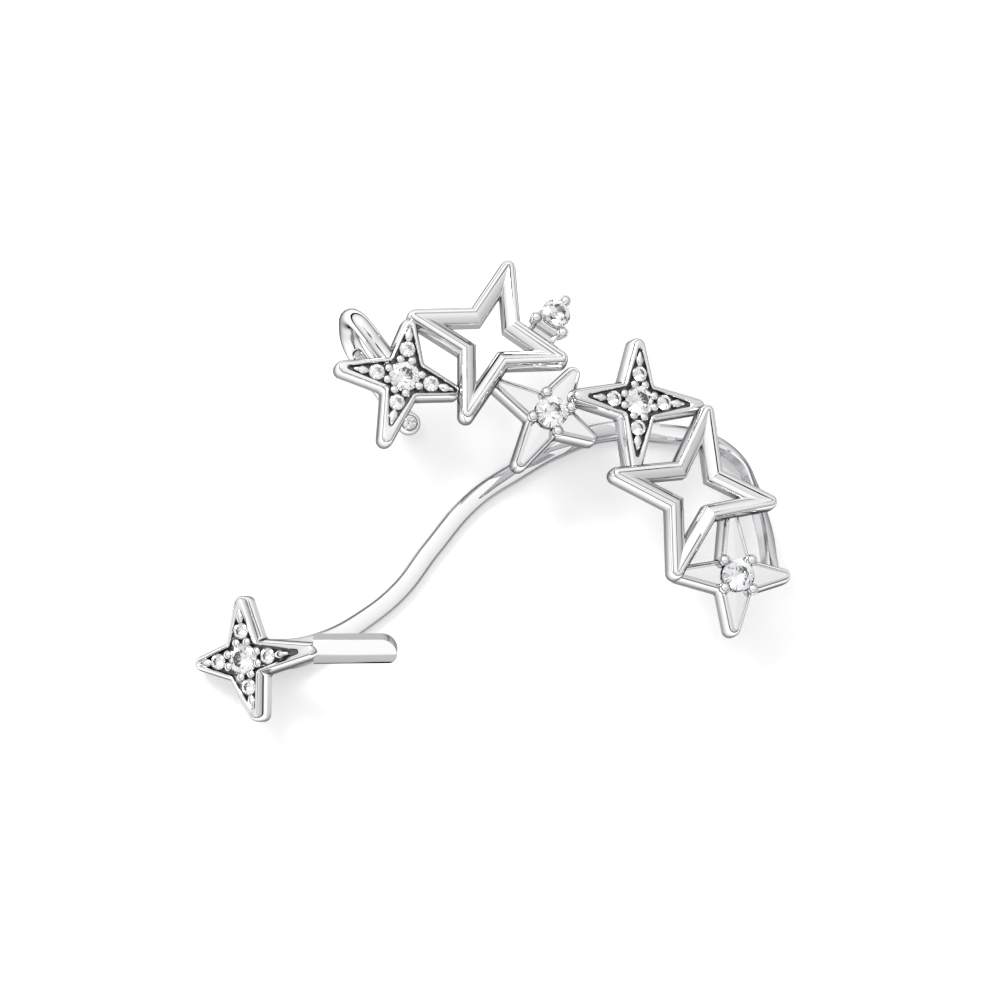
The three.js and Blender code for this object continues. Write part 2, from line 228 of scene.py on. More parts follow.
def silver_finish(name, colour, grazing, roughness):
    """Metal with a colour straight on and one at a grazing angle, between two roughnesses."""
    material, tree, output = new_material(name)
    place = add_node(tree, "ShaderNodeTexCoord").outputs["Object"]
    waves = add_node(tree, "ShaderNodeTexNoise", Vector=place, Scale=1 / WAVE_SIZE, Detail=2.0)
    scratches = add_node(
        tree, "ShaderNodeTexNoise", Vector=place, Scale=1 / SCRATCH_SIZE, Detail=4.0,
    )
    gloss = add_node(
        tree, "ShaderNodeMapRange", Value=scratches.outputs["Fac"],
        To_Min=roughness[0], To_Max=roughness[1],
    )
    bump = add_node(
        tree, "ShaderNodeBump", Height=waves.outputs["Fac"], Distance=WAVE_DEPTH,
        Strength=WAVE_STRENGTH,
    )
    shader = add_node(
        tree, "ShaderNodeBsdfPrincipled",
        Base_Color=linear(colour), Metallic=1.0, Specular_Tint=linear(grazing),
        Roughness=gloss.outputs["Result"], Normal=bump.outputs["Normal"],
    )
    tree.links.new(shader.outputs["BSDF"], output.inputs["Surface"])
    return material


polished_silver = silver_finish("polished_silver", "#EDEDEE", "#4A4A4C", (0.01, 0.07))
# The satin copy is rougher, and its colour is painted darker as well: painted shade on walls and
# backs.
satin_shaded_silver = silver_finish("satin_shaded_silver", "#CFCFD1", "#8A8A8C", (0.14, 0.28))
print("made", polished_silver.name, "and", satin_shaded_silver.name)

# %% [markdown]
# ## Blackened silver
# The sunk floors between the small stones are darkened with liver of sulphur, so that the stones
# stand out. The sulphide is a grey-black skin, duller than the metal and a little uneven, and it
# wears off first where grains and rims stand proud. Here only the floors carry it.

# %% Blackened silver for the sunk floors
SKIN_SIZE = 0.35 * MM
SKIN_ROUGHNESS = 0.28
# Where a Mix node keeps its two colours and their mixture
COLOUR_A, COLOUR_B, MIXTURE = 6, 7, 2


def blackened_finish(name, dark, pale):
    """Sulphide skin on silver: two greys in patches, half dull."""
    material, tree, output = new_material(name)
    place = add_node(tree, "ShaderNodeTexCoord").outputs["Object"]
    patches = add_node(tree, "ShaderNodeTexNoise", Vector=place, Scale=1 / SKIN_SIZE, Detail=3.0)
    tone = add_node(tree, "ShaderNodeMix", {"data_type": "RGBA"}, Factor=patches.outputs["Fac"])
    tone.inputs[COLOUR_A].default_value = linear(dark)
    tone.inputs[COLOUR_B].default_value = linear(pale)
    shader = add_node(
        tree, "ShaderNodeBsdfPrincipled",
        Base_Color=tone.outputs[MIXTURE], Metallic=1.0, Roughness=SKIN_ROUGHNESS,
    )
    tree.links.new(shader.outputs["BSDF"], output.inputs["Surface"])
    return material


blackened_silver = blackened_finish("blackened_silver", "#3A3A3B", "#8C8C8D")
print("made", blackened_silver.name)

# %% [markdown]
# ## Cubic zirconia
# The clear stones are cubic zirconia, cut and polished by machine. It bends light more than glass
# and nearly as much as diamond, so light that enters the top is turned back out of it, in bright
# and dark facets. A faint haze inside keeps it from being a perfect computer stone.

# %% Clear stone
ZIRCONIA_IOR = 2.16
HAZE_SIZE = 0.5 * MM
DULLEST_POLISH = 0.02


def clear_stone_finish(name):
    """Clear, strongly refracting stone with a polish that wanders slightly."""
    material, tree, output = new_material(name)
    place = add_node(tree, "ShaderNodeTexCoord").outputs["Object"]
    haze = add_node(tree, "ShaderNodeTexNoise", Vector=place, Scale=1 / HAZE_SIZE, Detail=1.0)
    polish = add_node(
        tree, "ShaderNodeMapRange", Value=haze.outputs["Fac"], To_Min=0.0, To_Max=DULLEST_POLISH,
    )
    shader = add_node(
        tree, "ShaderNodeBsdfPrincipled",
        Base_Color=linear("#FBFCFE"), IOR=ZIRCONIA_IOR, Transmission_Weight=1.0,
        Roughness=polish.outputs["Result"],
    )
    tree.links.new(shader.outputs["BSDF"], output.inputs["Surface"])
    return material


clear_stone = clear_stone_finish("cubic_zirconia")
print("made", clear_stone.name)

# %% [markdown]
# ## Handing a piece over
# A finished piece is set in place, smoothed across its soft edges and given its finish. Weighted
# normals let the wide flats keep their own direction, so that they mirror cleanly, while the
# narrow bevels beside them carry all of the turn. Then the measured nodes that the piece stands
# for are hidden, and the piece is tied to the one body, so that it moves with it.

# %% Hand a piece over to the frame
SMOOTH_DEGREES = 32


def hand_over(piece, nodes, place=Matrix.Identity(4), smooth=SMOOTH_DEGREES):
    """Sets and smooths a piece, ties it to the body and hides the nodes of the frame it stands for.
    """
    set_in_place(piece, place)
    if smooth:
        bpy.ops.object.shade_smooth_by_angle(angle=math.radians(smooth), keep_sharp_edges=True)
        apply_modifier(piece, "WEIGHTED_NORMAL", keep_sharp=True, weight=100)
    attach(piece, "root")
    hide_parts(*nodes)


def silver_piece(piece, place=Matrix.Identity(4), smooth=SMOOTH_DEGREES):
    """Hands over a piece of the soldered silver frame."""
    if not piece.data.materials:
        piece.data.materials.append(polished_silver)
    hand_over(piece, ["silver_frame"], place, smooth)
    print(piece.name, len(piece.data.polygons), "faces")


# %% [markdown]
# ## Where the stars lie
# All seven stars are of three kinds, each with one reach from middle to tip and arms that are a
# little longer or shorter. The table gives each arm's share of the reach and its bearing, how far
# the star's face leans, how much higher it lies than the rest, and where it lies from its
# neighbour, as shares of the two reaches together. A paved star also says how long the arms of its
# sunk floor are. The last star's stone, read from the frame, fixes the whole chain.

# %% Star sizes and places
REACH = {"paved": 4.74, "open": 6.54, "solid": 4.44}
STAR_THICKNESS = 1.7
BAND_THICKNESS = 0.85
EAR_GAP = 5.45
FIRST_FACE = BAND_THICKNESS + EAR_GAP + STAR_THICKNESS

STARS = {
    "openLower": dict(
        form="open", reach=(0.97, 1.02, 1.01, 1.06), bearing=(-6, 81, 171, 256), lean=(0, 0),
        rise=0, beside="solidLower", share=(-0.2925, 0.56),
    ),
    "paveMiddle": dict(
        form="paved", reach=(1.17, 1.03, 1.14, 1.18), bearing=(1, 89, 180, 267), lean=(9.4, -1),
        rise=-0.4, beside="openLower", share=(-0.3715, 0.58), sunk=(1.0, 0.95, 0.98, 1.0),
    ),
    "solidUpper": dict(
        form="solid", reach=(0.92, 0.96, 1.08, 1.11), bearing=(-27, 60, 152, 240), lean=(0, 0),
        rise=-0.6, beside="paveMiddle", share=(-0.734, -0.138),
    ),
    "openUpper": dict(
        form="open", reach=(0.92, 0.97, 0.96, 1.04), bearing=(-16, 75, 165, 253), lean=(-4.5, 6.6),
        rise=0.3, beside="solidUpper", share=(-0.425, 0.492),
    ),
    "paveUpper": dict(
        form="paved", reach=(0.93, 0.95, 1.07, 1.13), bearing=(-13, 84, 174, 255), lean=(0, 0),
        rise=-0.4, beside="openUpper", share=(-0.551, -0.286), sunk=(0.98, 0.91, 0.99, 0.93),
    ),
    "solidLower": dict(
        form="solid", reach=(0.98, 1.22, 1.09, 1.01), bearing=(3, 94, 179, 267), lean=(0, 0),
        rise=-1,
    ),
    "paveFoot": dict(
        form="paved", reach=(1.26, 0.98, 0.88, 0.97), bearing=(8, 97, 186, 286), lean=(-37.8, -7.3),
        sunk=(1.07, 0.84, 0.87, 0.87),
    ),
}


def node_middle(node):
    """Middle of a frame node's box, in bench units."""
    low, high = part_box(node)
    return (Vector(low) + Vector(high)) / (2 * MM)


def leaning(lean, at):
    """Place of a plane whose face leans by two angles and whose x stays level with the cuff's."""
    normal = Vector([math.tan(math.radians(angle)) for angle in lean] + [1]).normalized()
    across = (Vector((1, 0, 0)) - normal.x * normal).normalized()
    turn = Matrix((across, normal.cross(across), normal)).transposed()
    return Matrix.Translation(at) @ turn.to_4x4()


def star_middle(name):
    """Middle of a star's face, found from its neighbour or from its stone."""
    star = STARS[name]
    if "beside" not in star:
        stone = node_middle(f"stone_{name}")
        return Vector((stone.x, stone.y, FIRST_FACE + star["rise"]))
    other = star_middle(star["beside"])
    reach = REACH[star["form"]] + REACH[STARS[star["beside"]]["form"]]
    height = FIRST_FACE + star["rise"]
    return Vector((other.x + reach * star["share"][0], other.y + reach * star["share"][1], height))


# From the last star to the foot star, whose left tip hangs lowest, just clear of the floor
FOOT_SPAN = Vector((-36, -6.89))
FOOT_CLEARANCE = 0.1

places = {name: leaning(star["lean"], star_middle(name))
          for name, star in STARS.items() if name != "paveFoot"}
foot_turn = leaning(STARS["paveFoot"]["lean"], Vector())
foot_arm = REACH["paved"] * STARS["paveFoot"]["reach"][2]
foot_height = (foot_turn @ Vector((1, 0, 0))).z * foot_arm + foot_turn[2][2] * STAR_THICKNESS
last_star = star_middle("solidLower")
foot_middle = Vector((
    last_star.x + FOOT_SPAN.x, last_star.y + FOOT_SPAN.y, foot_height + FOOT_CLEARANCE,
))
places["paveFoot"] = leaning(STARS["paveFoot"]["lean"], foot_middle)
for name, place in places.items():
    print(name, [round(v, 2) for v in place.translation])

# %% [markdown]
# ## A star's outline
# Each arm ends in a round tip, and straight edges run from the tips to the waists between the
# arms. The same outline can be drawn smaller, at an even distance inside itself. The tip's
# roundness shrinks as it goes in, as it does on a filed edge, and the waists stay crisp.

# %% Draw a star's outline
WAIST_SHARE = 0.405
WAIST_RADIUS = {"paved": 0.3, "open": 0.1, "solid": 0.16}
WAIST_STEPS = 4
TIP_RADIUS = 0.6
TIP_STEPS = 10
# What polishing takes off a tip, and the least that its round shrinks to
TIP_POLISH = 0.04
SHARPEST = {"paved": 0.16, "open": 0.03, "solid": 0.04}


def polar(radius, bearing):
    """A point in the plane at a bearing in degrees."""
    angle = math.radians(bearing)
    return Vector((radius * math.cos(angle), radius * math.sin(angle)))


def step_inside(first, second, distance):
    """The step that brings a corner the same distance inside both edges with these normals."""
    cross = first.x * second.y - first.y * second.x
    return Vector((second.y - first.y, first.x - second.x)) * (-distance / cross)


def arc(middle, radius, first, second, steps, side):
    """Points round a middle between two normals; side is 1 outside the corner and -1 inside it."""
    start = math.atan2(first.y, first.x)
    sweep = (math.atan2(second.y, second.x) - start) % (2 * math.pi)
    if side < 0:
        sweep -= 2 * math.pi
    angles = [start + sweep * i / steps for i in range(steps + 1)]
    return [middle + Vector((math.cos(a), math.sin(a))) * side * radius for a in angles]


def outline(star, inset, scale=1):
    """Points of a star's outline, this far inside its edge, anticlockwise."""
    reach = REACH[star["form"]]
    tips = [polar(share * reach - TIP_RADIUS - TIP_POLISH, bearing)
            for share, bearing in zip(star["reach"], star["bearing"])]
    after = star["bearing"][1:] + (star["bearing"][0] + 360,)
    waists = [polar(WAIST_SHARE * reach, (a + b) / 2) for a, b in zip(star["bearing"], after)]

    def edge_normal(waist, tip, side):
        way = tip - waist
        turn = math.asin(TIP_RADIUS / way.length) + math.pi / 2
        return Matrix.Rotation(side * turn, 2) @ way.normalized()

    coming = [edge_normal(waists[arm - 1], tips[arm], -1) for arm in range(4)]
    going = [edge_normal(waists[arm], tips[arm], 1) for arm in range(4)]
    radius = max(TIP_RADIUS - inset, SHARPEST[star["form"]])
    hollow = WAIST_RADIUS[star["form"]]
    points = []
    for arm in range(4):
        following = coming[(arm + 1) % 4]
        middle = tips[arm] + step_inside(coming[arm], going[arm], inset + radius - TIP_RADIUS)
        points += arc(middle, radius, coming[arm], going[arm], TIP_STEPS, 1)
        middle = waists[arm] + step_inside(going[arm], following, inset - hollow)
        points += arc(middle, hollow, going[arm], following, WAIST_STEPS, -1)
    return [point * scale for point in points]


print(len(outline(STARS["paveFoot"], 0)), "points round a star")

# %% [markdown]
# ## Running a moulding round a star
# A picture framer runs one section round a whole frame, and a star is made here in the same way.
# A circle is drawn and pulled to the outline, its ring of edges is extruded, and the new ring is
# settled on the outline's next step in. The section says how high and how far in each step lies.

# %% A star from a section
def settle(piece, drawn, wanted):
    """Moves the selected points from where they were drawn to where they are wanted."""
    mesh = bmesh.from_edit_mesh(piece.data)
    loose = [point for point in mesh.verts if point.select]
    for old, new in zip(drawn, wanted):
        point = min(loose, key=lambda p: (p.co - old).length_squared)
        loose.remove(point)
        point.co = new
    bmesh.update_edit_mesh(piece.data)


def ring_at(star, height, inset, scale=1, arms="reach"):
    """One step of a moulding: the outline at a height, its arms cut to the shares named."""
    star = dict(star, reach=star[arms])
    return [Vector((point.x, point.y, height)) for point in outline(star, inset, scale)]


def run_moulding(name, star, section, closed=False):
    """Extrudes a star's outline from step to step of a section, and closes its ends."""
    rings = [ring_at(star, *step) for step in section]
    piece = start_piece(name, bpy.ops.mesh.primitive_circle_add, vertices=len(rings[0]), radius=1)
    circle = [point.co.copy() for point in piece.data.vertices]
    with bench(piece):
        bpy.ops.mesh.select_all(action="SELECT")
        settle(piece, circle, rings[0])
        if not closed:
            bpy.ops.mesh.edge_face_add()
            pick(piece, "edges", lambda edge: True)
        for drawn, wanted in zip(rings, rings[1:]):
            bpy.ops.mesh.extrude_edges_move()
            settle(piece, drawn, wanted)
        if closed:
            pick(piece, "edges", lambda edge: edge.is_boundary)
            bpy.ops.mesh.bridge_edge_loops()
        else:
            bpy.ops.mesh.edge_face_add()
    face_outwards(piece)
    return piece


def finish_faces(piece, materials, tests):
    """Gives a piece its materials, and each one after the first to the faces that pass its test."""
    for material in materials:
        piece.data.materials.append(material)
    with bench(piece):
        for slot, test in enumerate(tests, start=1):
            pick(piece, "faces", test)
            piece.active_material_index = slot
            bpy.ops.object.material_slot_assign()


# A wall or a back looks less upwards than this, and its middle lies below this height
SIDEWAYS = 0.2
WALL_TOP = -0.9


# The faces that pass get the darker satin copy: painted shade on the side walls and backs.
def is_wall(face):
    """Tells a side wall or a back from the polished face and its round edge."""
    return face.normal.z < SIDEWAYS and face.calc_center_median().z < WALL_TOP


# A section's steps are (height, inset), and may add a scale and the name of the arms' shares. These
# are the eased back edge, the wall and the round front edge.
BACK_AND_WALL = (
    (-STAR_THICKNESS, 0.14), (-STAR_THICKNESS + 0.04, 0.05), (-STAR_THICKNESS + 0.14, 0),
    (-0.95, 0), (-0.66, 0.02), (-0.42, 0.065), (-0.23, 0.13), (-0.1, 0.21), (-0.02, 0.3),
)
print("moulding ready")

# %% [markdown]
# ## Open stars
# The two open stars are rings with a mitred face: a narrow bright edge outside, a fine step, and a
# wide facet that rounds over as it falls inwards to the hole. One closed section gives the whole
# ring, back and hole included.

# %% Model the open stars
BAR_WIDTH = 1.3
BAR_SLOPE = 0.45
OPEN_SECTION = BACK_AND_WALL + (
    (0, 0.36), (0, 0.5), (-0.085, 0.57), (-0.12, 0.7), (-0.17, 0.83), (-0.24, 0.96),
    (0.11 - BAR_SLOPE, BAR_WIDTH - 0.2), (0.01 - BAR_SLOPE, BAR_WIDTH - 0.09),
    (-BAR_SLOPE - 0.1, BAR_WIDTH - 0.02), (-BAR_SLOPE - 0.25, BAR_WIDTH),
    (0.1 - STAR_THICKNESS, BAR_WIDTH), (-STAR_THICKNESS, BAR_WIDTH - 0.08),
)

for name in ("openUpper", "openLower"):
    star_ring = run_moulding(f"star_{name}", STARS[name], OPEN_SECTION, closed=True)
    finish_faces(star_ring, (polished_silver, satin_shaded_silver), (is_wall,))
    silver_piece(star_ring, places[name])

# %% [markdown]
# ## Drilling the seats
# A setter drills a cone for each stone, just wider than the stone, so that light can enter below
# it. The same cutter, a cone whose mouth is drawn up past the metal, serves for every stone.

# %% A cutter for seats
SEAT_CLEARANCE = 0.06
SEAT_MOUTH = 0.6
# Depth of a stone below its girdle, as a share of its width
PAVILION = 0.43
# A face that looks more upwards than this is level
LOOKS_UP = 0.9


def seat_cutter(size, at, girdle):
    """A cone that fits a stone's underside, with a short round mouth."""
    depth = PAVILION * size + SEAT_CLEARANCE
    cone = start_piece(
        "cutter", bpy.ops.mesh.primitive_cone_add, vertices=32, radius1=0,
        radius2=size / 2 + SEAT_CLEARANCE, depth=depth, location=(at.x, at.y, girdle - depth / 2),
    )
    with bench(cone):
        pick(cone, "faces", lambda face: face.normal.z > LOOKS_UP)
        bpy.ops.mesh.extrude_region_move(TRANSFORM_OT_translate={"value": (0, 0, SEAT_MOUTH)})
    return cone


def drill(piece, cutter):
    """Cuts the cutter's shape out of a piece."""
    apply_modifier(piece, "BOOLEAN", operation="DIFFERENCE", object=cutter, solver="EXACT")
    bpy.data.objects.remove(cutter)


print("cutter ready")

# %% [markdown]
# ## Solid stars
# The two solid stars are cast in one piece. Past the round edge a fine groove runs round the face.
# Inside it the arms are nearly flat and climb a little to the middle, where the stone's seat is
# drilled.

# %% Model the solid stars
PRONG_STONE = 2.4
STONE_LIFT = 0.45
FACE_RISE = 0.04
PEAK_SHARE = 0.12
SOLID_SECTION = BACK_AND_WALL + (
    (0.01, 0.34), (-0.075, 0.415), (0.01, 0.49), (FACE_RISE, 0.49, PEAK_SHARE),
)
SOLID_STARS = ("solidUpper", "solidLower")

for name in SOLID_STARS:
    solid_star = run_moulding(f"star_{name}", STARS[name], SOLID_SECTION)
    finish_faces(solid_star, (polished_silver, satin_shaded_silver), (is_wall,))
    drill(solid_star, seat_cutter(PRONG_STONE, Vector((0, 0)), STONE_LIFT))
    silver_piece(solid_star, places[name])

# %% [markdown]
# ## Paved stars
# A paved star has a raised rim round a sunk floor. The stones sit in cones drilled in the floor,
# which we cut with a boolean, and the blackened finish goes on the floor's faces alone: those
# that look up and lie at the floor's depth.

# %% Model the paved stars with their drilled seats
RIM_WIDTH = 0.47
FLOOR_DEPTH = 0.55
FLOOR_TOLERANCE = 0.05
CENTRE_STONE = 2.25
SIDE_STONE = 1.15
GRAIN_GAP = 0.33
PAVE_SINK = 0.15
PAVED_STARS = ("paveUpper", "paveMiddle", "paveFoot")
SIDES = ("right", "top", "left", "bottom")
SIDE_STONE_OUT = CENTRE_STONE / 2 + GRAIN_GAP + SIDE_STONE / 2
PAVED_SECTION = BACK_AND_WALL + (
    (0, 0.37), (-0.02, 0.41, 1, "sunk"), (-0.07, 0.45, 1, "sunk"), (-0.15, RIM_WIDTH, 1, "sunk"),
    (-FLOOR_DEPTH, RIM_WIDTH, 1, "sunk"),
)


def paved_stones(star):
    """Each stone of a paved star: its name's ending, size and middle."""
    stones = [("centre", CENTRE_STONE, Vector((0, 0)))]
    for side, bearing in zip(SIDES, star["bearing"]):
        stones.append((side, SIDE_STONE, polar(SIDE_STONE_OUT, bearing)))
    return stones


def is_sunk_floor(face):
    """Tells the floor between the stones."""
    above_floor = face.calc_center_median().z + FLOOR_DEPTH
    return face.normal.z > LOOKS_UP and abs(above_floor) < FLOOR_TOLERANCE


for name in PAVED_STARS:
    star = STARS[name]
    paved_star = run_moulding(f"star_{name}", star, PAVED_SECTION)
    finishes = (polished_silver, satin_shaded_silver, blackened_silver)
    finish_faces(paved_star, finishes, (is_wall, is_sunk_floor))
    seats = [seat_cutter(size, at, -PAVE_SINK) for _, size, at in paved_stones(star)]
    drill(paved_star, joined(seats, "cutter"))
    silver_piece(paved_star, places[name])

# %% [markdown]
# ## Grains
# The setter raises small beads of metal with a graver and rounds them with a cup-shaped tool, so
# that each stone is held by the beads round it. A bead is a sphere whose lower half is pulled down
# to the floor. Two stand between the stones on each arm, and a long one fills the arm's tip.

# %% Model one bead and set all the grains
GRAIN_RADIUS = 0.32
GRAIN_RISE = 0.1
GRAIN_CROWN = 0.6
TIP_GRAIN_RISE = 0.02
TIP_GRAIN_STRETCH = 1.9
TIP_GRAIN_TAPER = 0.62
# Where grains stand on an arm: out from the star's middle, and to each side
PAIR_OUT = CENTRE_STONE / 2 + 0.07
PAIR_SIDE = 0.25 * CENTRE_STONE / 2 + GRAIN_GAP / 2 - 0.02
TIP_OUT = SIDE_STONE_OUT + SIDE_STONE / 2 + TIP_GRAIN_STRETCH * GRAIN_RADIUS - 0.06


def bead(name, radius, top, foot, crown, waist=1, rounds=16):
    """A dome, crown times its radius high, on a stem whose foot is waist times as wide."""
    middle = top - crown * radius
    ball = start_piece(
        name, bpy.ops.mesh.primitive_uv_sphere_add, segments=rounds, ring_count=rounds // 2 + 2,
        radius=radius, scale=(1, 1, crown), location=(0, 0, middle),
    )
    keep_place(ball)
    with bench(ball):
        pick(ball, "verts", lambda point: point.co.z < middle - HAIR)
        bpy.ops.transform.resize(value=(waist, waist, 0), center_override=(0, 0, foot))
    return ball


def turned_out(bearing, out, side=0):
    """The place at a bearing in degrees, this far out and to the side."""
    turn = Matrix.Rotation(math.radians(bearing), 4, "Z")
    return turn @ Matrix.Translation((out, side, 0))


def grains_of(star):
    """All beads of one paved star."""
    round_grain = bead("grain", GRAIN_RADIUS, GRAIN_RISE, -FLOOR_DEPTH, GRAIN_CROWN)
    long_grain = bead("tip_grain", GRAIN_RADIUS, TIP_GRAIN_RISE, -FLOOR_DEPTH, GRAIN_CROWN)
    with bench(long_grain):
        bpy.ops.mesh.select_all(action="SELECT")
        bpy.ops.transform.resize(value=(TIP_GRAIN_STRETCH, 1, 1), center_override=(0, 0, 0))
        pick(long_grain, "verts", lambda point: point.co.x > HAIR)
        bpy.ops.transform.resize(value=(1, TIP_GRAIN_TAPER, 1), center_override=(0, 0, 0))
    spots = (
        (round_grain, PAIR_OUT, -PAIR_SIDE), (round_grain, PAIR_OUT, PAIR_SIDE),
        (long_grain, TIP_OUT, 0),
    )
    grains = []
    for bearing in star["bearing"]:
        for model, out, side in spots:
            grain = copy_of(model, "grain")
            grain.matrix_world = turned_out(bearing, out, side)
            grains.append(grain)
    for model in (round_grain, long_grain):
        bpy.data.objects.remove(model)
    for grain in grains:
        keep_place(grain)
    return grains


for name in PAVED_STARS:
    grains = joined(grains_of(STARS[name]), f"grains_{name}")
    silver_piece(grains, places[name], smooth=60)

# %% [markdown]
# ## A round brilliant
# Each stone is a round brilliant: a flat table, eight kites and their stars above a thin girdle,
# and long facets that run down to a point. Rings of points are drawn with circles at their
# heights, and the tightest skin over them is exactly the cut stone. Facets that lie in one plane
# are then merged, so that each kite is a single face.

# %% Cut a brilliant
# Heights and widths are shares of the stone's width or radius
CROWN = 0.15
GIRDLE = 0.03
TABLE = 0.55
KITE_OUT = (1 + TABLE) / 2
KITE_RISE = 0.63
HALVE_OUT = 0.22
HALVE_DEPTH = 0.797
CULET = 0.012
ONE_PLANE = math.radians(1.2)
BRILLIANT_RINGS = (
    # points, radius, height above the girdle's middle, turn in steps
    (8, TABLE, CROWN, 0),
    (8, KITE_OUT, CROWN * KITE_RISE, 0.5),
    (32, 1, GIRDLE / 2, 0),
    (32, 1, -GIRDLE / 2, 0),
    (8, HALVE_OUT, -PAVILION * HALVE_DEPTH, 0.5),
    (8, CULET, -PAVILION, 0),
)


def cut_brilliant(name, size):
    """A round brilliant of this diameter about the middle of its girdle."""
    stone = start_piece(
        name, bpy.ops.mesh.primitive_circle_add, vertices=3, radius=CULET * size / 2,
        location=(0, 0, -PAVILION * size),
    )
    keep_place(stone)
    with bench(stone):
        for count, out, height, turn in BRILLIANT_RINGS:
            bpy.ops.mesh.primitive_circle_add(
                vertices=count, radius=out * size / 2, location=(0, 0, height * size),
                rotation=(0, 0, 2 * math.pi * turn / count),
            )
        bpy.ops.mesh.select_all(action="SELECT")
        bpy.ops.mesh.convex_hull()
        bpy.ops.mesh.select_all(action="SELECT")
        bpy.ops.mesh.dissolve_limited(angle_limit=ONE_PLANE)
        bpy.ops.mesh.normals_make_consistent(inside=False)
    stone.data.materials.append(clear_stone)
    return stone


def set_stone(model, node, place, at, girdle):
    """Sets a copy of a stone for a node of the frame."""
    stone = copy_of(model, f"cut_{node}")
    spot = place @ Matrix.Translation((at.x, at.y, girdle))
    hand_over(stone, [node], spot, smooth=0)


large_brilliant = cut_brilliant("large_brilliant", CENTRE_STONE)
small_brilliant = cut_brilliant("small_brilliant", SIDE_STONE)
for name in PAVED_STARS:
    for ending, size, at in paved_stones(STARS[name]):
        model = large_brilliant if size == CENTRE_STONE else small_brilliant
        set_stone(model, f"stone_{name}_{ending}", places[name], at, -PAVE_SINK)
for model in (large_brilliant, small_brilliant):
    print(model.name, len(model.data.polygons), "facets")
    bpy.data.objects.remove(model)

# %% [markdown]
# ## Prong settings on the solid stars
# A larger stone stands over each solid star in a low collar, held by four prongs that rise from
# the star's waists. A prong is a stout wire, rounded at its end and pressed in over the stone.

# %% Set the stones of the solid stars
PRONG_RADIUS = 0.43
PRONG_INSET = 0.14
PRONG_RISE = 0.42
PRONG_CROWN = 0.95
PRONG_FOOT = 0.6
COLLAR_RADIUS = 1.16
COLLAR_EASE = 0.05
COLLAR_TOP = STONE_LIFT - 0.15
SETTING_ROOT = -0.3


def prong(size, bearing, foot, top):
    """A prong beside a stone of this size, its rounded end reaching in over the stone."""
    claw = bead("prong", PRONG_RADIUS, top, foot, PRONG_CROWN, waist=PRONG_FOOT, rounds=20)
    claw.matrix_world = turned_out(bearing, size / 2 + PRONG_RADIUS - PRONG_INSET)
    keep_place(claw)
    return claw


def collar():
    """A low round cup, drilled for the stone that stands in it."""
    cup = start_piece(
        "collar", bpy.ops.mesh.primitive_cylinder_add, vertices=48, radius=COLLAR_RADIUS,
        depth=COLLAR_TOP - SETTING_ROOT, location=(0, 0, (COLLAR_TOP + SETTING_ROOT) / 2),
    )
    keep_place(cup)
    apply_modifier(cup, "BEVEL", width=COLLAR_EASE, segments=3, limit_method="ANGLE")
    drill(cup, seat_cutter(PRONG_STONE, Vector((0, 0)), STONE_LIFT))
    return cup


solid_brilliant = cut_brilliant("solid_brilliant", PRONG_STONE)
for name in SOLID_STARS:
    bearings = STARS[name]["bearing"]
    waists = [(a + b) / 2 for a, b in zip(bearings, bearings[1:] + (bearings[0] + 360,))]
    prongs = [prong(PRONG_STONE, bearing, SETTING_ROOT, STONE_LIFT + PRONG_RISE)
              for bearing in waists]
    silver_piece(joined(prongs + [collar()], f"setting_{name}"), places[name], smooth=50)
    set_stone(solid_brilliant, f"stone_{name}", places[name], Vector((0, 0)), STONE_LIFT)
bpy.data.objects.remove(solid_brilliant)

# %% [markdown]
# ## The crest's cup
# One stone stands free beside the upper open star. It sits in a small cup, a cone that widens
# towards the stone, with a hollow pressed into its lip.

# %% Model the crest's cup
CREST_STONE = 2.15
CREST_SHARE = Vector((0.755, 0.297))
CREST_LEAN = (8, 10)
CUP_DEPTH = 1.35
CUP_FOOT = 0.55
CUP_LIP = 1.12
CUP_WALL = 0.14
CUP_FLOOR = 0.15
CUP_TAPER = 0.3
CUP_EASE = 0.04

crest_middle = places["openUpper"].translation + (CREST_SHARE * REACH["open"]).to_3d()
crest_place = leaning(CREST_LEAN, crest_middle)
cup = start_piece(
    "cup", bpy.ops.mesh.primitive_cone_add, vertices=48, radius1=CUP_FOOT, radius2=CUP_LIP,
    depth=CUP_DEPTH - CROWN, location=(0, 0, -(CUP_DEPTH + CROWN) / 2),
)
keep_place(cup)
with bench(cup):
    pick(cup, "faces", lambda face: face.normal.z > LOOKS_UP)
    bpy.ops.mesh.inset(thickness=CUP_WALL)
    hollow = (0, 0, CROWN - CUP_DEPTH + CUP_FLOOR)
    bpy.ops.mesh.extrude_region_move(TRANSFORM_OT_translate={"value": hollow})
    bpy.ops.transform.resize(value=(CUP_TAPER, CUP_TAPER, 1))
apply_modifier(cup, "BEVEL", width=CUP_EASE, segments=2, limit_method="ANGLE")
print("cup at", [round(v, 2) for v in crest_middle])

# %% [markdown]
# ## The crest's rail and prongs
# A short rail joins the cup to the star's arm, and a gallery, a small plate with a sunk panel,
# stands on it. Three prongs hold the stone, two of them from a little way off.

# %% Join the crest to its star and set its stone
RAIL_BEARING = -30
RAIL_WIDTH = 2.2
RAIL_HEIGHT = 0.6
RAIL_EASE = 0.08
GALLERY_SIZE = Vector((2.6, 0.3, 0.95))
GALLERY_OUT = 1.15
GALLERY_SHIFT = -0.05
GALLERY_TOP = -0.2
GALLERY_FRAME = 0.13
GALLERY_PANEL = 0.14
GALLERY_EASE = 0.06
CREST_PRONG_RISE = 0.28
CREST_PRONG_ROOT = -0.7 * CUP_DEPTH
# Where the prongs stand, and how far out of their place beside the stone
CREST_PRONGS = ((55, 0), (198, 0.3), (287, 0.18))


def block(name, size, middle):
    """A box of this size about its middle."""
    box = start_piece(name, bpy.ops.mesh.primitive_cube_add, size=1, scale=size, location=middle)
    keep_place(box)
    return box


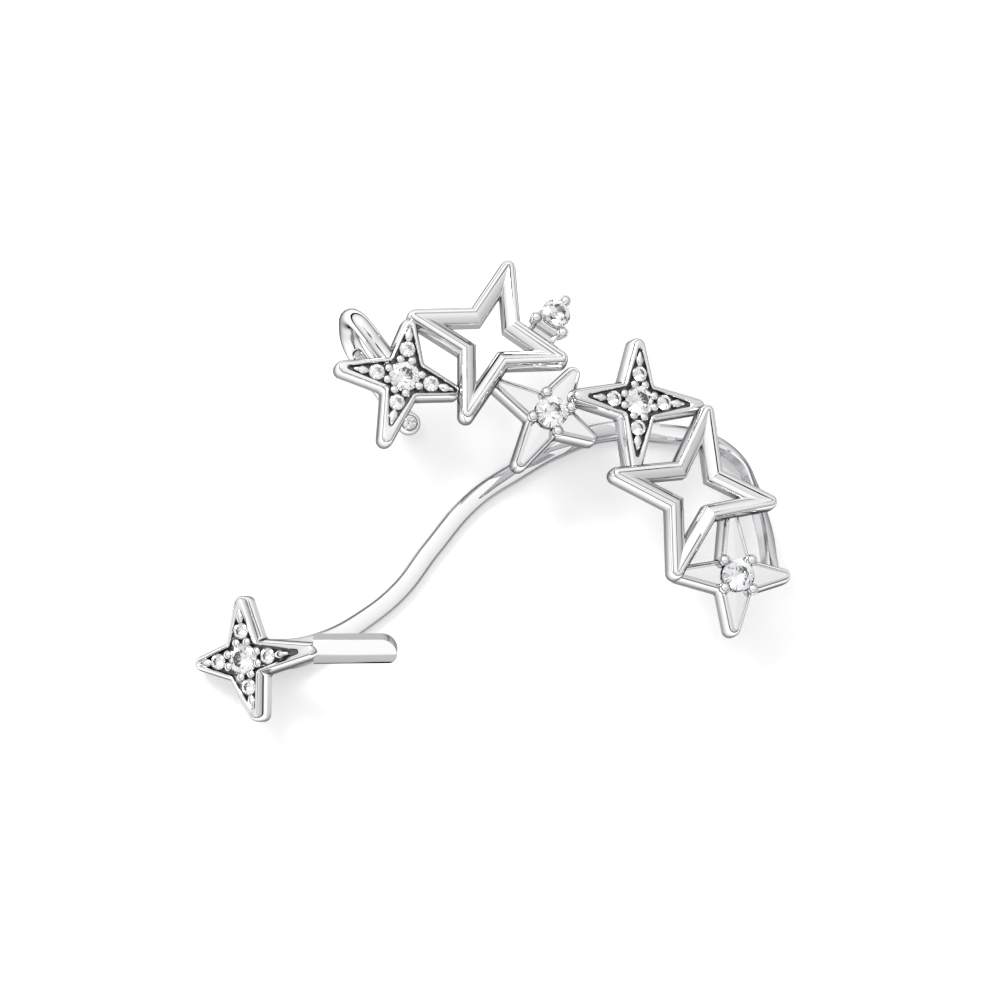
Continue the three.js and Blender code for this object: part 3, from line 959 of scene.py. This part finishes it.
rail_middle = (0, -RAIL_WIDTH / 2, RAIL_HEIGHT / 2 - CUP_DEPTH)
rail = block("rail", (CREST_STONE, RAIL_WIDTH, RAIL_HEIGHT), rail_middle)
apply_modifier(rail, "BEVEL", width=RAIL_EASE, segments=3)
gallery_middle = (GALLERY_SHIFT, -GALLERY_OUT, GALLERY_TOP - GALLERY_SIZE.z / 2)
gallery = block("gallery", GALLERY_SIZE, gallery_middle)
with bench(gallery):
    pick(gallery, "faces", lambda face: face.normal.y < -LOOKS_UP)
    bpy.ops.mesh.inset(thickness=GALLERY_FRAME)
    bpy.ops.mesh.extrude_region_move(TRANSFORM_OT_translate={"value": (0, GALLERY_PANEL, 0)})
apply_modifier(gallery, "BEVEL", width=GALLERY_EASE, segments=3, limit_method="ANGLE")
for bar in (rail, gallery):
    bar.matrix_world = Matrix.Rotation(math.radians(RAIL_BEARING), 4, "Z")
    keep_place(bar)
crest_parts = [cup, rail, gallery]
for bearing, out in CREST_PRONGS:
    crest_parts.append(prong(CREST_STONE + 2 * out, bearing, CREST_PRONG_ROOT, CREST_PRONG_RISE))
silver_piece(joined(crest_parts, "setting_crest"), crest_place, smooth=50)
crest_brilliant = cut_brilliant("crest_brilliant", CREST_STONE)
set_stone(crest_brilliant, "stone_crest", crest_place, Vector((0, 0)), 0)
bpy.data.objects.remove(crest_brilliant)

# %% [markdown]
# ## Drawing along a route
# A strip or a wire that bends is easiest as a curve. A few knots hold its route, and a section
# drawn along them is turned to a mesh.

# %% Tools for drawn curves
def drawn_curve(name, points, closed=False, kind="BEZIER"):
    """A curve through points, smooth if it is a Bezier one."""
    curve = bpy.data.curves.new(name, "CURVE")
    curve.dimensions = "3D"
    spline = curve.splines.new(kind)
    spline.use_cyclic_u = closed
    smooth = kind == "BEZIER"
    knots = spline.bezier_points if smooth else spline.points
    knots.add(len(points) - 1)
    for knot, point in zip(knots, points):
        knot.co = point if smooth else (*point, 1)
        if smooth:
            knot.handle_left_type = knot.handle_right_type = "AUTO"
    piece = bpy.data.objects.new(name, curve)
    bpy.context.scene.collection.objects.link(piece)
    return piece


def turn_to_mesh(piece):
    """Makes a drawn curve a mesh."""
    pick_up(piece)
    bpy.ops.object.convert(target="MESH")
    face_outwards(piece)


print("curves ready")

# %% [markdown]
# ## The band
# A flat strip runs behind the ear from the foot star to the last one, and at its end it rolls on
# edge and rises to the star's back. Each knot of its route has a tilt and a radius, which roll and
# widen the strip. Its profile is flat behind and has crisp flats in front, which show as long
# stripes. Only the flat that looks up is polished. The edges and the stretch that stands on edge
# are satin, because a mirror there shows the stars beside it as a comb of dark lines. The satin's
# colour is also painted darker, as painted shade on them.

# %% Draw the band along its route
BAND_WIDTH = 1.45
# Along the line between the two end stars and out from it, as shares of its length; height as a
# share of the ear gap; width as a share of the band's; roll of its face outwards, in degrees
BAND_ROUTE = (
    (0.009, 0.006, 0.36, 1.5, 0), (0.065, 0.008, 0.2, 1.5, 0), (0.125, 0.006, 0.07, 1.45, 0),
    (0.193, 0.02, 0, 1.2, 0), (0.264, 0.047, 0, 1.05, 0), (0.351, 0.096, 0, 1, 0),
    (0.434, 0.172, 0, 1, 0), (0.538, 0.257, 0, 1, 0), (0.642, 0.305, 0, 1, 0),
    (0.74, 0.341, 0, 1, 0), (0.85, 0.359, 0, 1, 0), (0.965, 0.338, 0.025, 1, 10),
    (1.06, 0.306, 0.077, 1, 38), (1.11, 0.257, 0.1, 1.05, 58), (1.12, 0.2, 0.22, 1.1, 58),
    (1.116, 0.14, 0.42, 1.1, 48), (1.106, 0.08, 0.67, 1.05, 40), (1.092, 0.03, 0.88, 1, 35),
    (1.085, -0.005, 0.98, 1, 30),
)
# Across and up, as shares of the band's width and thickness
BAND_PROFILE = (
    (-0.42, -0.5), (0.42, -0.5), (0.5, -0.4), (0.5, 0.2), (0.46, 0.36), (0.38, 0.46), (0.28, 0.5),
    (-0.22, 0.47), (-0.38, 0.38), (-0.46, 0.26), (-0.5, 0.1), (-0.5, -0.4),
)
BAND_STEPS = 24

band_start = places["paveFoot"].translation.to_2d()
band_line = places["solidLower"].translation.to_2d() - band_start
band_out = Vector((-band_line.y, band_line.x))
route = []
for along, out, height, _, _ in BAND_ROUTE:
    flat = band_start + along * band_line + out * band_out
    route.append(Vector((flat.x, flat.y, BAND_THICKNESS / 2 + height * EAR_GAP)))
section = [(across * BAND_WIDTH, up * BAND_THICKNESS, 0) for across, up in BAND_PROFILE]
profile = drawn_curve("band_profile", section, closed=True, kind="POLY")
band = drawn_curve("band", route)
band.data.resolution_u = BAND_STEPS
band.data.twist_mode = "Z_UP"
band.data.bevel_mode = "OBJECT"
band.data.bevel_object = profile
band.data.use_fill_caps = True
for knot, (_, _, _, width, roll) in zip(band.data.splines[0].bezier_points, BAND_ROUTE):
    knot.radius = width
    knot.tilt = math.radians(-roll)
band.data.splines[0].tilt_interpolation = "CARDINAL"
band.data.splines[0].radius_interpolation = "CARDINAL"
turn_to_mesh(band)
bpy.data.objects.remove(profile)
# Nothing of it may dip below the floor
with bench(band):
    pick(band, "verts", lambda point: point.co.z < 0)
    bpy.ops.transform.resize(value=(1, 1, 0), center_override=(0, 0, 0))
# Faces that look less upwards get the darker satin copy: painted shade on the band's edges and the
# stretch on edge.
finish_faces(band, (polished_silver, satin_shaded_silver), (lambda face: face.normal.z < LOOKS_UP,))
silver_piece(band, smooth=19.5)

# %% [markdown]
# ## The hook
# A round wire leaves the back of the upper paved star, bends over the top of the ear and comes
# back under the star, where it ends in a ball so that it can't scratch. The wire is a curve with
# a round section, and the ball is a sphere on its end.

# %% Bend the hook and add its ball
HOOK_WIRE = 1.4
HOOK_BALL = 1.75
HOOK_REACH = 5.9
HOOK_ROOT = 1.5
HOOK_STEPS = 8
HOOK_ROUNDNESS = 6
# How far out from the star's middle as a share of the hook's reach, and the height as a share of
# the climb from its tail to the star
HOOK_ROUTE = (
    (0.5, 1), (0.71, 1.02), (0.91, 0.98), (1, 0.8), (0.95, 0.5), (0.84, 0.22), (0.68, 0.06),
    (0.46, 0), (0.19, 0), (-0.18, 0), (-0.43, 0),
)

hook_star = places["paveUpper"].translation
hook_bearing = sum(STARS["paveUpper"]["bearing"][1:3]) / 2
hook_tail = HOOK_BALL / 2
hook_climb = hook_star.z - STAR_THICKNESS / 2 - hook_tail


def hook_spot(out, height):
    """A point of the hook's route."""
    flat = hook_star.to_2d() + polar(out * HOOK_REACH, hook_bearing)
    return Vector((flat.x, flat.y, hook_tail + hook_climb * height))


hook_route = [hook_spot(HOOK_ROOT / HOOK_REACH, 1)] + [hook_spot(*row) for row in HOOK_ROUTE]
hook = drawn_curve("hook", hook_route)
hook.data.resolution_u = HOOK_STEPS
hook.data.bevel_depth = HOOK_WIRE / 2
hook.data.bevel_resolution = HOOK_ROUNDNESS
hook.data.use_fill_caps = True
turn_to_mesh(hook)
ball = start_piece(
    "ball", bpy.ops.mesh.primitive_uv_sphere_add, segments=32, ring_count=16,
    radius=HOOK_BALL / 2, location=hook_route[-1],
)
keep_place(ball)
silver_piece(joined([hook, ball], "hook"), smooth=40)

# %% [markdown]
# ## The clip
# A slab is soldered under the tip of the foot star's right arm and lies along the front of the
# ear. Its free end is rounded, more at its upper corner. Its face has a low crown: it climbs from
# the lower edge to a soft ridge below the middle and runs level from there, so that the upper part
# catches the light and the lower part falls into shade.

# %% Model the clip
CLIP_LENGTH = 5.78
CLIP_WIDTH = 1.84
CLIP_THICKNESS = 1.2
CLIP_LEAN = (-12.7, -29.3)
CLIP_BEARING = 6.7
# How far it reaches back under the tip, lies below it and is shifted towards its own lower edge
CLIP_BITE = 0.12
CLIP_SINK = 0.38
CLIP_DROP = 0.39
# Radius of the free end's corner on the upper side, 1, and the lower side, -1
CLIP_CORNERS = {1: 1.15, -1: 0.62}
CLIP_CORNER_STEPS = 12
CLIP_EASE = 0.15
CLIP_CROWN = 0.12
# How far across from the middle, as shares of half the width, and how high, as shares of the crown
CLIP_CURVE = ((-1, 0), (-0.85, 0.26), (-0.3, 0.88), (-0.22, 0.96), (-0.12, 1), (1, 1))


def crown_height(across):
    """Height of the clip's crown, as a share of its own, at a share of half the clip's width."""
    for (left, low), (right, high) in zip(CLIP_CURVE, CLIP_CURVE[1:]):
        if across <= right:
            return low + (high - low) * max(0, across - left) / (right - left)
    return CLIP_CURVE[-1][1]


def at_free_end(edge, side):
    """Tells the upright edge at the free end's corner on this side."""
    half_width = CLIP_WIDTH / 2 - HAIR
    return all(point.co.x > CLIP_LENGTH - HAIR and point.co.y * side > half_width
               for point in edge.verts)


clip_size = (CLIP_LENGTH + CLIP_BITE, CLIP_WIDTH, CLIP_THICKNESS)
clip_depth = CLIP_THICKNESS / 2 + CLIP_CROWN + CLIP_SINK
clip = block("clip", clip_size, ((CLIP_LENGTH - CLIP_BITE) / 2, 0, -clip_depth))
with bench(clip):
    for side, radius in CLIP_CORNERS.items():
        pick(clip, "edges", lambda edge: at_free_end(edge, side))
        bpy.ops.mesh.bevel(offset=radius, segments=CLIP_CORNER_STEPS, profile=0.5)
    for across, _ in CLIP_CURVE[1:-1]:
        bpy.ops.mesh.select_all(action="SELECT")
        bpy.ops.mesh.bisect(plane_co=(0, across * CLIP_WIDTH / 2, 0), plane_no=(0, 1, 0))
    for point in bmesh.from_edit_mesh(clip.data).verts:
        if point.co.z > -CLIP_THICKNESS / 2:
            point.co.z += CLIP_CROWN * crown_height(point.co.y / (CLIP_WIDTH / 2))
    bmesh.update_edit_mesh(clip.data)
# The clip's sides and back get the darker satin copy: painted shade on its side walls.
finish_faces(clip, (polished_silver, satin_shaded_silver), (lambda face: face.normal.z < SIDEWAYS,))
apply_modifier(
    clip, "BEVEL", width=CLIP_EASE, segments=4, limit_method="ANGLE", angle_limit=math.radians(40),
)
foot_star = STARS["paveFoot"]
foot_tip = polar(foot_star["reach"][0] * REACH["paved"], foot_star["bearing"][0])
clip_place = leaning(CLIP_LEAN, places["paveFoot"] @ foot_tip.to_3d())
clip_place = clip_place @ Matrix.Translation((0, -CLIP_DROP, 0))
clip_place = clip_place @ Matrix.Rotation(math.radians(CLIP_BEARING), 4, "Z")
silver_piece(clip, clip_place, smooth=35)

# %% [markdown]
# ## The floor
# Jewellery is photographed on white, under broad soft light. The floor is a white card, and a
# little light of its own keeps it white under the cuff.

# %% Lay the floor
FLOOR_SIZE = 4000
FLOOR_DROP = 0.02
FLOOR_GLOW = 0.22

floor = start_piece(
    "floor", bpy.ops.mesh.primitive_plane_add, size=FLOOR_SIZE * MM,
    location=(0, 0, -FLOOR_DROP * MM),
)
floor_material, floor_tree, floor_output = new_material("white_card")
card = add_node(
    floor_tree, "ShaderNodeBsdfPrincipled", Base_Color=linear("#FAFAFA"), Roughness=0.8,
    Emission_Color=linear("#FFFFFF"), Emission_Strength=FLOOR_GLOW,
)
floor_tree.links.new(card.outputs["BSDF"], floor_output.inputs["Surface"])
floor.data.materials.append(floor_material)
print("floor", FLOOR_SIZE, "mm wide")

# %% [markdown]
# ## The sky
# Polished metal shows nothing but its surroundings, so these matter as much as the lamp. A bright
# sky overhead makes the faces white. A dark band low down draws the dark lines along the bevels,
# a dark spot round the lens greys what mirrors the camera, and a small card below the camera
# brightens the clip.

# %% Build the sky
SKY_FROM = Vector((-0.47, 0.43, 0.77))
SKY_SIDES = (
    # how far a direction looks towards the bright side, from 0 to 1, and the brightness there
    (0.0, 0.7), (0.2, 0.75), (0.4, 0.83), (0.6, 0.95), (0.8, 1.1), (1.0, 1.25),
)
SKY_HEIGHTS = (
    # height of a direction, from 0 at the horizon to 1 overhead, and the share of light left there
    (0.0, 0.4), (0.04, 0.0), (0.17, 0.0), (0.24, 0.74), (0.45, 0.93), (1.0, 1.0),
)
LENS_SPOT = (
    # how nearly a direction points at the camera, and the share of light left round the lens
    (0.0, 1.0), (0.984, 1.0), (0.992, 0.08), (1.0, 0.08),
)
FILL_FROM = Vector((-0.135, -0.765, 0.63))
FILL_CARD = (
    # how nearly a direction points at the card below the camera, and the light it adds
    (0.0, 0.0), (0.955, 0.0), (0.975, 0.14), (0.99, 0.42), (1.0, 0.42),
)

world = bpy.data.worlds.new("studio")
world.use_nodes = True
sky = world.node_tree
sky.nodes.clear()
way = add_node(sky, "ShaderNodeTexCoord").outputs["Generated"]


def towards(direction):
    """How nearly the sky's own direction points this way."""
    node = add_node(sky, "ShaderNodeVectorMath", {"operation": "DOT_PRODUCT"})
    sky.links.new(way, node.inputs[0])
    node.inputs[1].default_value = direction
    return node.outputs["Value"]


def sky_ramp(stops, value):
    """A ramp of greys through the given stops."""
    node = add_node(sky, "ShaderNodeValToRGB", Fac=value)
    elements = node.color_ramp.elements
    while len(elements) < len(stops):
        elements.new(0.5)
    for element, (at, glow) in zip(elements, stops):
        element.position = at
        element.color = (glow, glow, glow, 1)
    return node.outputs["Color"]


def blended(blend, light, other):
    """A light multiplied by another, or with another added."""
    settings = {"data_type": "RGBA", "blend_type": blend}
    node = add_node(sky, "ShaderNodeMix", settings, Factor=1.0)
    sky.links.new(light, node.inputs[COLOUR_A])
    sky.links.new(other, node.inputs[COLOUR_B])
    return node.outputs[MIXTURE]


height = add_node(sky, "ShaderNodeSeparateXYZ", Vector=way).outputs["Z"]
light = sky_ramp(SKY_SIDES, towards(SKY_FROM.normalized()))
light = blended("MULTIPLY", light, sky_ramp(SKY_HEIGHTS, height))
light = blended("MULTIPLY", light, sky_ramp(LENS_SPOT, towards(camera_turn @ Vector((0, 0, 1)))))
light = blended("ADD", light, sky_ramp(FILL_CARD, towards(FILL_FROM)))
backdrop = add_node(sky, "ShaderNodeBackground", Color=light, Strength=1.0)
world_output = sky.nodes.new("ShaderNodeOutputWorld")
sky.links.new(backdrop.outputs["Background"], world_output.inputs["Surface"])
bpy.context.scene.world = world
print("sky of", len(sky.nodes), "nodes")

# %% [markdown]
# ## The lamp
# One softbox at the upper left gives the shadow its side and the facets their sparkle.

# %% Hang the lamp
KEY_PLACE = Vector((-220, 200, 300))
KEY_SIZE = 140
KEY_WATTS = 0.8

bpy.ops.object.light_add(type="AREA", location=KEY_PLACE * MM)
key_lamp = bpy.context.object
key_lamp.name = "key_softbox"
key_lamp.rotation_euler = (-KEY_PLACE).to_track_quat("-Z", "Y").to_euler()
key_lamp.data.size = KEY_SIZE * MM
key_lamp.data.energy = KEY_WATTS
bpy.context.scene.view_settings.view_transform = "Standard"
print("lamp", round(KEY_PLACE.length), "mm away")
